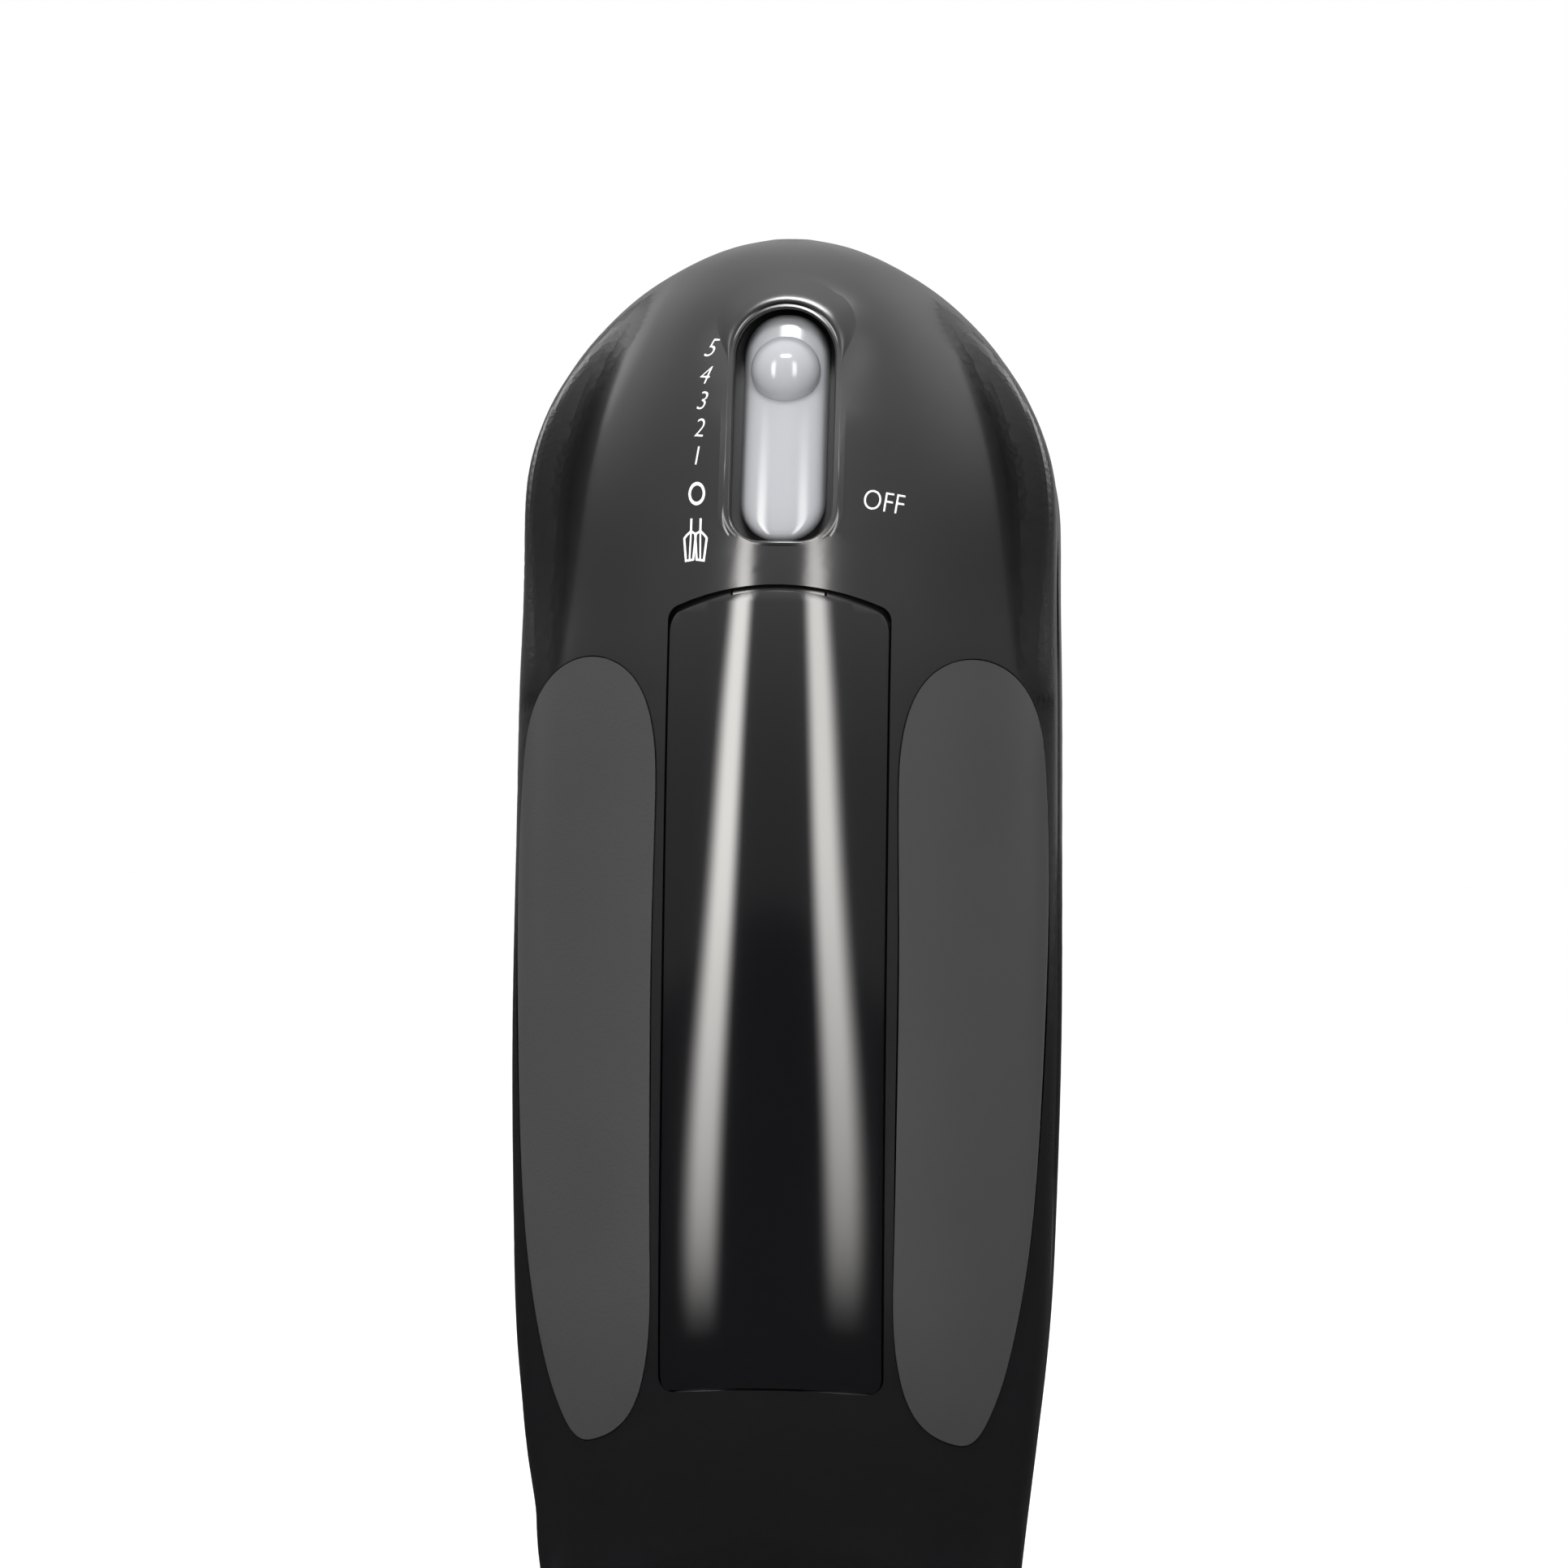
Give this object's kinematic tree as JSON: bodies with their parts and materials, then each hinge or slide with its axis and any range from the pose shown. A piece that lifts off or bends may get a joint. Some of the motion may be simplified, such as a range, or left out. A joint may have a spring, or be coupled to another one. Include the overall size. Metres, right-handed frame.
{
  "type": "electric hand mixer",
  "caption": "Electric hand mixer parked on its heel, with a wide grip, a sliding speed switch, a worm gearbox and wire beaters that eject.",
  "frame": {"origin": "on the flat rubber face of the heel, where the mixer rests when parked, level with the handle's centre plane", "axes": "+Z from the heel to the nose, +Y from the handle's crest towards the beaters' tips, +X to the right seen from above the handle with the nose up"},
  "size_m": [0.0758, 0.2438, 0.2039],
  "materials": {
    "shell_black": "glossy moulded ABS, charcoal black",
    "panel_black": "high-gloss black inlay",
    "grip_soft": "soft-touch over-moulded elastomer, dark grey",
    "foot_rubber": "matt rubber foot",
    "gland_rubber": "matt rubber gland",
    "screw_steel": "zinc-plated steel",
    "lamination_steel": "stacked electrical steel",
    "copper_wire": "enamelled copper winding",
    "commutator_copper": "turned copper segments",
    "bracket_aluminium": "die-cast",
    "bush_bronze": "sintered bronze",
    "holder_black": "glass-filled nylon",
    "carbon": "pressed carbon",
    "spring_steel": "spring wire",
    "terminal_brass": "stamped brass",
    "board_green": "solder-masked laminate",
    "sink_aluminium": "extruded",
    "capacitor_yellow": "moulded case",
    "slider_grey": "glossy light grey plastic",
    "ejector_white": "acetal",
    "shaft_steel": "ground steel",
    "fan_grey": "moulded nylon",
    "wheel_nylon": "natural nylon",
    "beater_chrome": "bright chromed steel",
    "collar_white": "black nylon collar"
  },
  "bodies": {
    "housing": {"top_housing": "shell_black", "main_housing": "shell_black", "lower_housing": "shell_black", "top_panel": "panel_black", "left_grip_pad": "grip_soft", "right_grip_pad": "grip_soft", "heel_pad": "foot_rubber", "cord_gland": "gland_rubber", "housing_screws": "screw_steel", "handle_screws": "screw_steel", "stator_core": "lamination_steel", "field_coils": "copper_wire", "rear_motor_bracket": "bracket_aluminium", "front_motor_bracket": "bracket_aluminium", "motor_bolts": "screw_steel", "rear_motor_bush": "bush_bronze", "front_motor_bush": "bush_bronze", "brush_holders": "holder_black", "carbon_brushes": "carbon", "brush_springs": "spring_steel", "gearbox_housing": "holder_black", "gearbox_cover": "holder_black", "nose_bush": "bush_bronze", "spindle_bushes": "bush_bronze", "eject_springs": "spring_steel", "slider_guide": "holder_black", "speed_switch": "holder_black", "switch_terminals": "terminal_brass", "control_board": "board_green", "heat_sink": "sink_aluminium", "suppression_capacitor": "capacitor_yellow"},
    "speed_control": {"speed_slider": "slider_grey", "slider_carrier": "holder_black"},
    "ejector": {"eject_plate": "ejector_white", "eject_stem": "ejector_white"},
    "armature": {"armature_shaft": "shaft_steel", "armature_core": "lamination_steel", "armature_windings": "copper_wire", "commutator": "commutator_copper", "cooling_fan": "fan_grey", "worm": "shaft_steel"},
    "left_spindle": {"left_spindle": "shaft_steel", "left_worm_wheel": "wheel_nylon"},
    "right_spindle": {"right_spindle": "shaft_steel", "right_worm_wheel": "wheel_nylon"},
    "left_beater": {"left_beater_shaft": "beater_chrome", "left_beater_collar": "collar_white", "left_beater_cage": "beater_chrome"},
    "right_beater": {"right_beater_shaft": "beater_chrome", "right_beater_collar": "collar_white", "right_beater_cage": "beater_chrome"}
  },
  "joints": [
    {"name": "speed_slide", "type": "hinge", "parent": "housing", "child": "speed_control", "pos_m": [0, 0.1277, 0.12], "axis": [-1, 0, 0], "range_deg": [-5.5, 1.1]},
    {"name": "eject_slide", "type": "slide", "parent": "housing", "child": "ejector", "axis": [0, 1, 0], "range_m": [0, 0.005], "stiffness_N_per_m": 500, "springref_m": -0.003, "deforming": ["eject_springs"]},
    {"name": "armature_spin", "type": "hinge", "parent": "housing", "child": "armature", "pos_m": [0, 0.028, 0.085], "axis": [0, 0, 1], "continuous": true},
    {"name": "left_spindle_spin", "type": "hinge", "parent": "housing", "child": "left_spindle", "pos_m": [-0.016, 0.028, 0.152], "axis": [0, 1, 0], "continuous": true},
    {"name": "right_spindle_spin", "type": "hinge", "parent": "housing", "child": "right_spindle", "pos_m": [0.016, 0.028, 0.152], "axis": [0, 1, 0], "continuous": true},
    {"name": "left_beater_slide", "type": "slide", "parent": "left_spindle", "child": "left_beater", "axis": [0, 1, 0], "range_m": [0, 0.005]},
    {"name": "right_beater_slide", "type": "slide", "parent": "right_spindle", "child": "right_beater", "axis": [0, 1, 0], "range_m": [0, 0.005]}
  ],
  "couplings": [
    {"joint": "left_spindle_spin", "follows": "armature_spin", "ratio": 0.090909},
    {"joint": "right_spindle_spin", "follows": "armature_spin", "ratio": -0.090909},
    {"joint": "left_beater_slide", "follows": "eject_slide", "ratio": 1},
    {"joint": "right_beater_slide", "follows": "eject_slide", "ratio": 1}
  ]
}
